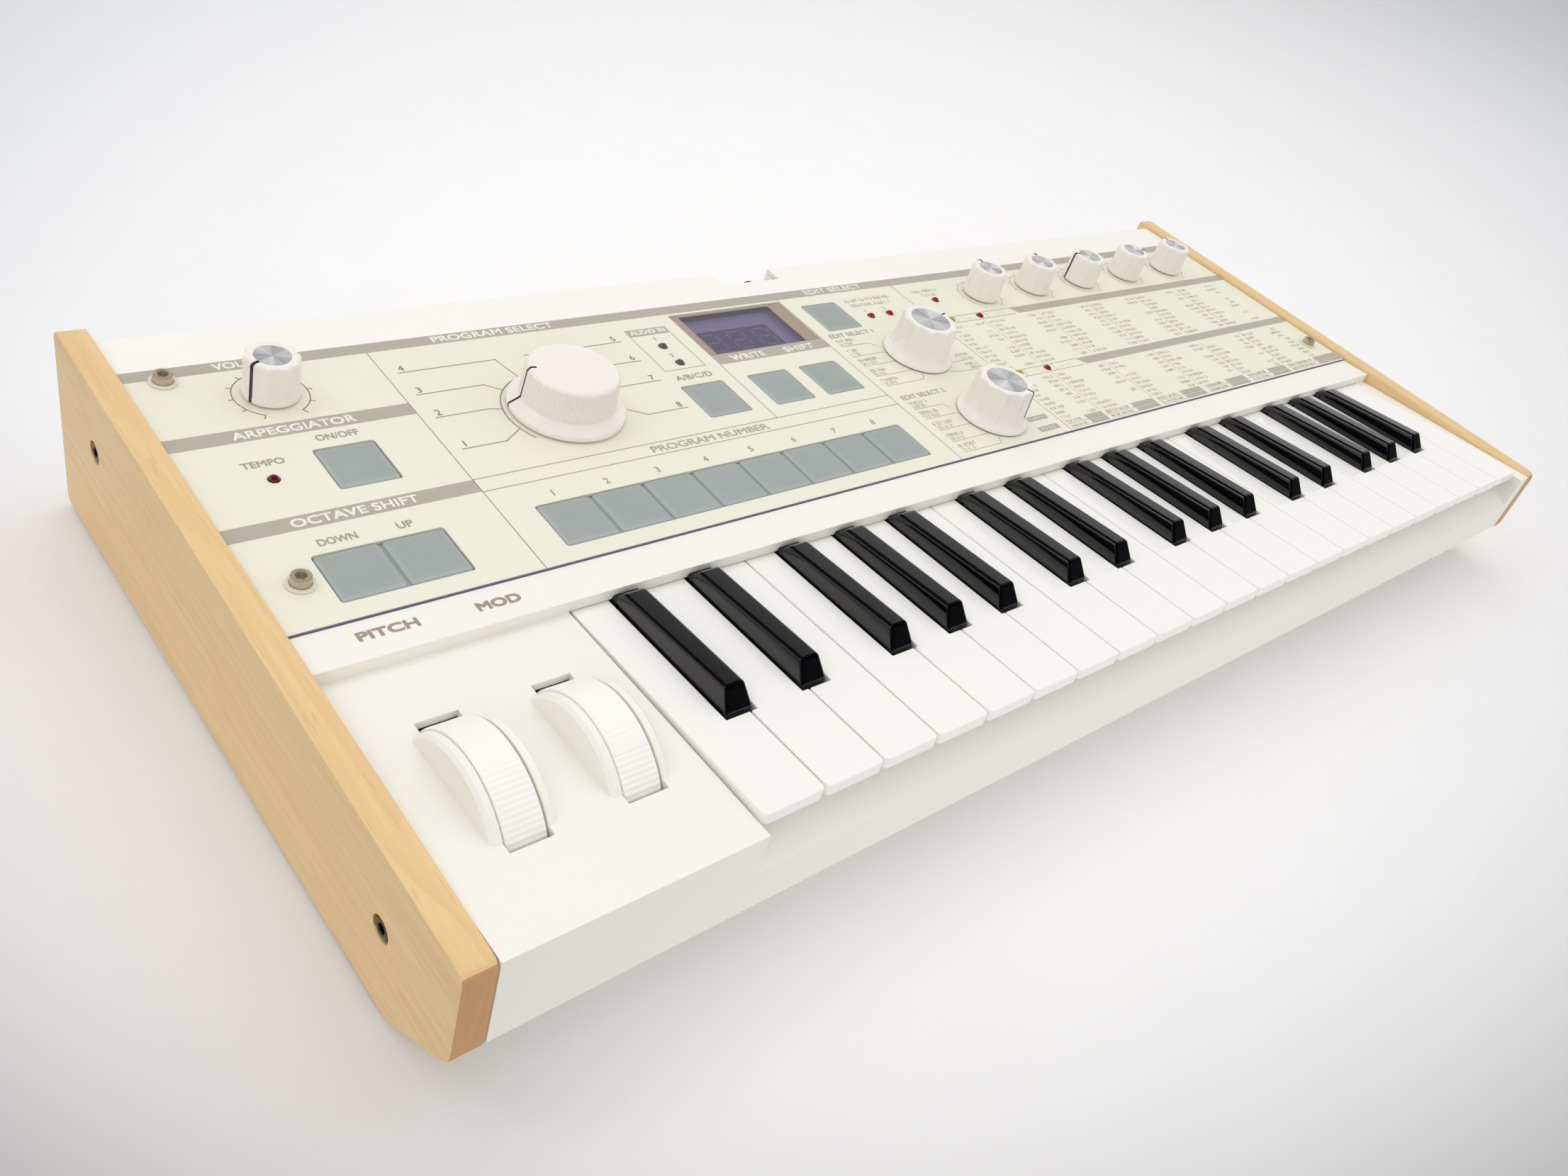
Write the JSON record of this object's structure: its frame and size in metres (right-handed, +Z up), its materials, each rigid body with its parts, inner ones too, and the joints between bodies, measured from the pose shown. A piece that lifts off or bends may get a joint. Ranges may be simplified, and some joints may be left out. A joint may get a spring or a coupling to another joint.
{
  "type": "synthesizer",
  "caption": "Compact tabletop keyboard synthesizer: mini keys that hinge, two performance wheels, turning knobs and push buttons on a sloping panel between wooden cheeks.",
  "frame": {"origin": "on the ground under the centre of the footprint", "axes": "+X to the player's right along the keyboard, +Y from the keys to the back, +Z up"},
  "size_m": [0.524, 0.228, 0.0688],
  "materials": {
    "case_plastic": "satin",
    "panel_paint": "satin",
    "display_pane": "glossy",
    "circuit_board": "matte",
    "frame_plastic": "matte",
    "maple": "satin",
    "knob_plastic": "satin",
    "button_silicone": "satin",
    "white_key_plastic": "glossy",
    "black_key_plastic": "glossy"
  },
  "bodies": {
    "case": {"upper_case": "case_plastic", "lower_case": "case_plastic", "control_panel": "panel_paint", "display_window": "display_pane", "main_board": "circuit_board", "key_frame": "frame_plastic", "left_cheek": "maple", "right_cheek": "maple"},
    "pitch_wheel": {"pitch_wheel": "knob_plastic"},
    "mod_wheel": {"mod_wheel": "knob_plastic"},
    "volume_knob": {"volume_knob": "knob_plastic"},
    "program_dial": {"program_dial": "knob_plastic"},
    "edit_select_knob_1": {"edit_select_knob_1": "knob_plastic"},
    "edit_select_knob_2": {"edit_select_knob_2": "knob_plastic"},
    "edit_knob_1": {"edit_knob_1": "knob_plastic"},
    "edit_knob_2": {"edit_knob_2": "knob_plastic"},
    "edit_knob_3": {"edit_knob_3": "knob_plastic"},
    "edit_knob_4": {"edit_knob_4": "knob_plastic"},
    "edit_knob_5": {"edit_knob_5": "knob_plastic"},
    "program_buttons": {"program_buttons": "button_silicone"},
    "octave_buttons": {"octave_buttons": "button_silicone"},
    "arpeggiator_button": {"arpeggiator_button": "button_silicone"},
    "function_buttons": {"function_buttons": "button_silicone"},
    "white_key_01": {"white_key_01": "white_key_plastic"},
    "white_key_02": {"white_key_02": "white_key_plastic"},
    "white_key_03": {"white_key_03": "white_key_plastic"},
    "white_key_04": {"white_key_04": "white_key_plastic"},
    "white_key_05": {"white_key_05": "white_key_plastic"},
    "white_key_06": {"white_key_06": "white_key_plastic"},
    "white_key_07": {"white_key_07": "white_key_plastic"},
    "white_key_08": {"white_key_08": "white_key_plastic"},
    "white_key_09": {"white_key_09": "white_key_plastic"},
    "white_key_10": {"white_key_10": "white_key_plastic"},
    "white_key_11": {"white_key_11": "white_key_plastic"},
    "white_key_12": {"white_key_12": "white_key_plastic"},
    "white_key_13": {"white_key_13": "white_key_plastic"},
    "white_key_14": {"white_key_14": "white_key_plastic"},
    "white_key_15": {"white_key_15": "white_key_plastic"},
    "white_key_16": {"white_key_16": "white_key_plastic"},
    "white_key_17": {"white_key_17": "white_key_plastic"},
    "white_key_18": {"white_key_18": "white_key_plastic"},
    "white_key_19": {"white_key_19": "white_key_plastic"},
    "white_key_20": {"white_key_20": "white_key_plastic"},
    "white_key_21": {"white_key_21": "white_key_plastic"},
    "white_key_22": {"white_key_22": "white_key_plastic"},
    "black_key_01": {"black_key_01": "black_key_plastic"},
    "black_key_02": {"black_key_02": "black_key_plastic"},
    "black_key_03": {"black_key_03": "black_key_plastic"},
    "black_key_04": {"black_key_04": "black_key_plastic"},
    "black_key_05": {"black_key_05": "black_key_plastic"},
    "black_key_06": {"black_key_06": "black_key_plastic"},
    "black_key_07": {"black_key_07": "black_key_plastic"},
    "black_key_08": {"black_key_08": "black_key_plastic"},
    "black_key_09": {"black_key_09": "black_key_plastic"},
    "black_key_10": {"black_key_10": "black_key_plastic"},
    "black_key_11": {"black_key_11": "black_key_plastic"},
    "black_key_12": {"black_key_12": "black_key_plastic"},
    "black_key_13": {"black_key_13": "black_key_plastic"},
    "black_key_14": {"black_key_14": "black_key_plastic"},
    "black_key_15": {"black_key_15": "black_key_plastic"}
  },
  "joints": [
    {"name": "pitch_wheel_turn", "type": "hinge", "parent": "case", "child": "pitch_wheel", "pos_m": [-0.2334, -0.0707, 0.0335], "axis": [1, 0, 0], "range_deg": [-38, 38], "stiffness_Nm_per_rad": 0.08},
    {"name": "mod_wheel_turn", "type": "hinge", "parent": "case", "child": "mod_wheel", "pos_m": [-0.2033, -0.0707, 0.0335], "axis": [1, 0, 0], "range_deg": [-70, 0]},
    {"name": "volume_knob_turn", "type": "hinge", "parent": "case", "child": "volume_knob", "pos_m": [-0.2192, 0.07347, 0.05504], "axis": [0, -0.0479, 0.9988], "range_deg": [-264, 36]},
    {"name": "program_dial_turn", "type": "hinge", "parent": "case", "child": "program_dial", "pos_m": [-0.1403, 0.0452, 0.05368], "axis": [0, -0.0479, 0.9988], "range_deg": [-180, 30]},
    {"name": "edit_select_knob_1_turn", "type": "hinge", "parent": "case", "child": "edit_select_knob_1", "pos_m": [0.0137, 0.04121, 0.05349], "axis": [0, -0.0479, 0.9988], "range_deg": [-76, 224]},
    {"name": "edit_select_knob_2_turn", "type": "hinge", "parent": "case", "child": "edit_select_knob_2", "pos_m": [0.0137, 0.00036, 0.05153], "axis": [0, -0.0479, 0.9988], "range_deg": [0, 300]},
    {"name": "edit_knob_1_turn", "type": "hinge", "parent": "case", "child": "edit_knob_1", "pos_m": [0.0829, 0.07247, 0.05499], "axis": [0, -0.0479, 0.9988], "range_deg": [-150, 150]},
    {"name": "edit_knob_2_turn", "type": "hinge", "parent": "case", "child": "edit_knob_2", "pos_m": [0.1176, 0.07247, 0.05499], "axis": [0, -0.0479, 0.9988], "range_deg": [-150, 150]},
    {"name": "edit_knob_3_turn", "type": "hinge", "parent": "case", "child": "edit_knob_3", "pos_m": [0.1523, 0.07247, 0.05499], "axis": [0, -0.0479, 0.9988], "range_deg": [-150, 150]},
    {"name": "edit_knob_4_turn", "type": "hinge", "parent": "case", "child": "edit_knob_4", "pos_m": [0.187, 0.07247, 0.05499], "axis": [0, -0.0479, 0.9988], "range_deg": [-150, 150]},
    {"name": "edit_knob_5_turn", "type": "hinge", "parent": "case", "child": "edit_knob_5", "pos_m": [0.2217, 0.07247, 0.05499], "axis": [0, -0.0479, 0.9988], "range_deg": [-150, 150]},
    {"name": "program_buttons_press", "type": "slide", "parent": "case", "child": "program_buttons", "axis": [0, -0.0479, 0.9988], "range_m": [-0.001, 0], "stiffness_N_per_m": 900},
    {"name": "octave_buttons_press", "type": "slide", "parent": "case", "child": "octave_buttons", "axis": [0, -0.0479, 0.9988], "range_m": [-0.001, 0], "stiffness_N_per_m": 900},
    {"name": "arpeggiator_button_press", "type": "slide", "parent": "case", "child": "arpeggiator_button", "axis": [0, -0.0479, 0.9988], "range_m": [-0.001, 0], "stiffness_N_per_m": 900},
    {"name": "function_buttons_press", "type": "slide", "parent": "case", "child": "function_buttons", "axis": [0, -0.0479, 0.9988], "range_m": [-0.001, 0], "stiffness_N_per_m": 900},
    {"name": "white_key_01_press", "type": "hinge", "parent": "case", "child": "white_key_01", "pos_m": [-0.1753, -0.016, 0.04375], "axis": [1, 0, 0], "range_deg": [0, 2.6], "stiffness_Nm_per_rad": 1.2},
    {"name": "white_key_02_press", "type": "hinge", "parent": "case", "child": "white_key_02", "pos_m": [-0.1557, -0.016, 0.04375], "axis": [1, 0, 0], "range_deg": [0, 2.6], "stiffness_Nm_per_rad": 1.2},
    {"name": "white_key_03_press", "type": "hinge", "parent": "case", "child": "white_key_03", "pos_m": [-0.1361, -0.016, 0.04375], "axis": [1, 0, 0], "range_deg": [0, 2.6], "stiffness_Nm_per_rad": 1.2},
    {"name": "white_key_04_press", "type": "hinge", "parent": "case", "child": "white_key_04", "pos_m": [-0.1165, -0.016, 0.04375], "axis": [1, 0, 0], "range_deg": [0, 2.6], "stiffness_Nm_per_rad": 1.2},
    {"name": "white_key_05_press", "type": "hinge", "parent": "case", "child": "white_key_05", "pos_m": [-0.0969, -0.016, 0.04375], "axis": [1, 0, 0], "range_deg": [0, 2.6], "stiffness_Nm_per_rad": 1.2},
    {"name": "white_key_06_press", "type": "hinge", "parent": "case", "child": "white_key_06", "pos_m": [-0.0773, -0.016, 0.04375], "axis": [1, 0, 0], "range_deg": [0, 2.6], "stiffness_Nm_per_rad": 1.2},
    {"name": "white_key_07_press", "type": "hinge", "parent": "case", "child": "white_key_07", "pos_m": [-0.0577, -0.016, 0.04375], "axis": [1, 0, 0], "range_deg": [0, 2.6], "stiffness_Nm_per_rad": 1.2},
    {"name": "white_key_08_press", "type": "hinge", "parent": "case", "child": "white_key_08", "pos_m": [-0.0381, -0.016, 0.04375], "axis": [1, 0, 0], "range_deg": [0, 2.6], "stiffness_Nm_per_rad": 1.2},
    {"name": "white_key_09_press", "type": "hinge", "parent": "case", "child": "white_key_09", "pos_m": [-0.0185, -0.016, 0.04375], "axis": [1, 0, 0], "range_deg": [0, 2.6], "stiffness_Nm_per_rad": 1.2},
    {"name": "white_key_10_press", "type": "hinge", "parent": "case", "child": "white_key_10", "pos_m": [0.0011, -0.016, 0.04375], "axis": [1, 0, 0], "range_deg": [0, 2.6], "stiffness_Nm_per_rad": 1.2},
    {"name": "white_key_11_press", "type": "hinge", "parent": "case", "child": "white_key_11", "pos_m": [0.0207, -0.016, 0.04375], "axis": [1, 0, 0], "range_deg": [0, 2.6], "stiffness_Nm_per_rad": 1.2},
    {"name": "white_key_12_press", "type": "hinge", "parent": "case", "child": "white_key_12", "pos_m": [0.0403, -0.016, 0.04375], "axis": [1, 0, 0], "range_deg": [0, 2.6], "stiffness_Nm_per_rad": 1.2},
    {"name": "white_key_13_press", "type": "hinge", "parent": "case", "child": "white_key_13", "pos_m": [0.0599, -0.016, 0.04375], "axis": [1, 0, 0], "range_deg": [0, 2.6], "stiffness_Nm_per_rad": 1.2},
    {"name": "white_key_14_press", "type": "hinge", "parent": "case", "child": "white_key_14", "pos_m": [0.0795, -0.016, 0.04375], "axis": [1, 0, 0], "range_deg": [0, 2.6], "stiffness_Nm_per_rad": 1.2},
    {"name": "white_key_15_press", "type": "hinge", "parent": "case", "child": "white_key_15", "pos_m": [0.0991, -0.016, 0.04375], "axis": [1, 0, 0], "range_deg": [0, 2.6], "stiffness_Nm_per_rad": 1.2},
    {"name": "white_key_16_press", "type": "hinge", "parent": "case", "child": "white_key_16", "pos_m": [0.1187, -0.016, 0.04375], "axis": [1, 0, 0], "range_deg": [0, 2.6], "stiffness_Nm_per_rad": 1.2},
    {"name": "white_key_17_press", "type": "hinge", "parent": "case", "child": "white_key_17", "pos_m": [0.1383, -0.016, 0.04375], "axis": [1, 0, 0], "range_deg": [0, 2.6], "stiffness_Nm_per_rad": 1.2},
    {"name": "white_key_18_press", "type": "hinge", "parent": "case", "child": "white_key_18", "pos_m": [0.1579, -0.016, 0.04375], "axis": [1, 0, 0], "range_deg": [0, 2.6], "stiffness_Nm_per_rad": 1.2},
    {"name": "white_key_19_press", "type": "hinge", "parent": "case", "child": "white_key_19", "pos_m": [0.1775, -0.016, 0.04375], "axis": [1, 0, 0], "range_deg": [0, 2.6], "stiffness_Nm_per_rad": 1.2},
    {"name": "white_key_20_press", "type": "hinge", "parent": "case", "child": "white_key_20", "pos_m": [0.1971, -0.016, 0.04375], "axis": [1, 0, 0], "range_deg": [0, 2.6], "stiffness_Nm_per_rad": 1.2},
    {"name": "white_key_21_press", "type": "hinge", "parent": "case", "child": "white_key_21", "pos_m": [0.2167, -0.016, 0.04375], "axis": [1, 0, 0], "range_deg": [0, 2.6], "stiffness_Nm_per_rad": 1.2},
    {"name": "white_key_22_press", "type": "hinge", "parent": "case", "child": "white_key_22", "pos_m": [0.2363, -0.016, 0.04375], "axis": [1, 0, 0], "range_deg": [0, 2.6], "stiffness_Nm_per_rad": 1.2},
    {"name": "black_key_01_press", "type": "hinge", "parent": "case", "child": "black_key_01", "pos_m": [-0.1682, -0.016, 0.04375], "axis": [1, 0, 0], "range_deg": [0, 2.6], "stiffness_Nm_per_rad": 1.2},
    {"name": "black_key_02_press", "type": "hinge", "parent": "case", "child": "black_key_02", "pos_m": [-0.1432, -0.016, 0.04375], "axis": [1, 0, 0], "range_deg": [0, 2.6], "stiffness_Nm_per_rad": 1.2},
    {"name": "black_key_03_press", "type": "hinge", "parent": "case", "child": "black_key_03", "pos_m": [-0.1101, -0.016, 0.04375], "axis": [1, 0, 0], "range_deg": [0, 2.6], "stiffness_Nm_per_rad": 1.2},
    {"name": "black_key_04_press", "type": "hinge", "parent": "case", "child": "black_key_04", "pos_m": [-0.0871, -0.016, 0.04375], "axis": [1, 0, 0], "range_deg": [0, 2.6], "stiffness_Nm_per_rad": 1.2},
    {"name": "black_key_05_press", "type": "hinge", "parent": "case", "child": "black_key_05", "pos_m": [-0.0641, -0.016, 0.04375], "axis": [1, 0, 0], "range_deg": [0, 2.6], "stiffness_Nm_per_rad": 1.2},
    {"name": "black_key_06_press", "type": "hinge", "parent": "case", "child": "black_key_06", "pos_m": [-0.031, -0.016, 0.04375], "axis": [1, 0, 0], "range_deg": [0, 2.6], "stiffness_Nm_per_rad": 1.2},
    {"name": "black_key_07_press", "type": "hinge", "parent": "case", "child": "black_key_07", "pos_m": [-0.006, -0.016, 0.04375], "axis": [1, 0, 0], "range_deg": [0, 2.6], "stiffness_Nm_per_rad": 1.2},
    {"name": "black_key_08_press", "type": "hinge", "parent": "case", "child": "black_key_08", "pos_m": [0.0271, -0.016, 0.04375], "axis": [1, 0, 0], "range_deg": [0, 2.6], "stiffness_Nm_per_rad": 1.2},
    {"name": "black_key_09_press", "type": "hinge", "parent": "case", "child": "black_key_09", "pos_m": [0.0501, -0.016, 0.04375], "axis": [1, 0, 0], "range_deg": [0, 2.6], "stiffness_Nm_per_rad": 1.2},
    {"name": "black_key_10_press", "type": "hinge", "parent": "case", "child": "black_key_10", "pos_m": [0.0731, -0.016, 0.04375], "axis": [1, 0, 0], "range_deg": [0, 2.6], "stiffness_Nm_per_rad": 1.2},
    {"name": "black_key_11_press", "type": "hinge", "parent": "case", "child": "black_key_11", "pos_m": [0.1062, -0.016, 0.04375], "axis": [1, 0, 0], "range_deg": [0, 2.6], "stiffness_Nm_per_rad": 1.2},
    {"name": "black_key_12_press", "type": "hinge", "parent": "case", "child": "black_key_12", "pos_m": [0.1312, -0.016, 0.04375], "axis": [1, 0, 0], "range_deg": [0, 2.6], "stiffness_Nm_per_rad": 1.2},
    {"name": "black_key_13_press", "type": "hinge", "parent": "case", "child": "black_key_13", "pos_m": [0.1643, -0.016, 0.04375], "axis": [1, 0, 0], "range_deg": [0, 2.6], "stiffness_Nm_per_rad": 1.2},
    {"name": "black_key_14_press", "type": "hinge", "parent": "case", "child": "black_key_14", "pos_m": [0.1873, -0.016, 0.04375], "axis": [1, 0, 0], "range_deg": [0, 2.6], "stiffness_Nm_per_rad": 1.2},
    {"name": "black_key_15_press", "type": "hinge", "parent": "case", "child": "black_key_15", "pos_m": [0.2103, -0.016, 0.04375], "axis": [1, 0, 0], "range_deg": [0, 2.6], "stiffness_Nm_per_rad": 1.2}
  ]
}
